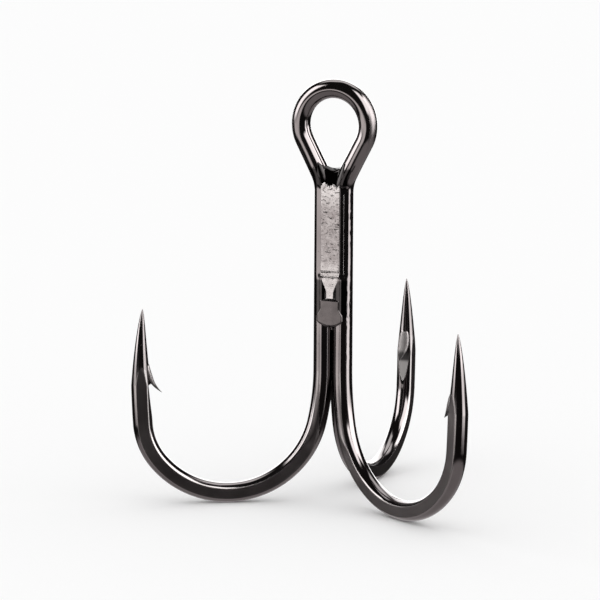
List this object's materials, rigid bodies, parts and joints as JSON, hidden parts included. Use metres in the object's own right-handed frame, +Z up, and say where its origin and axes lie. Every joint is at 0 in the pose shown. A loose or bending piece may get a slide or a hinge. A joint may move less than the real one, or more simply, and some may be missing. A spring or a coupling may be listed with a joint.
{
  "type": "treble hook",
  "caption": "Treble fishing hook in bent and brazed wire, with a teardrop eye, barbed tapered points and round bends set evenly about the shank.",
  "frame": {"origin": "centre of the round part of the eye", "axes": "+Z up the shank towards the top of the eye, +Y through the eye towards the single hook, +X in the plane of the eye with the right hook on its side"},
  "size_m": [0.0298, 0.0259, 0.0355],
  "materials": {
    "plated_wire": "high-carbon steel wire under glossy black nickel plating, near-mirror, very slightly warm",
    "plated_braze": "copper-zinc brazing metal under the same black nickel plating, satin and slightly rippled"
  },
  "bodies": {
    "root": {"double_hook_wire": "plated_wire", "single_hook_wire": "plated_wire", "braze_fillet_front": "plated_braze", "braze_fillet_left": "plated_braze", "braze_fillet_right": "plated_braze", "braze_core": "plated_braze"}
  },
  "joints": []
}
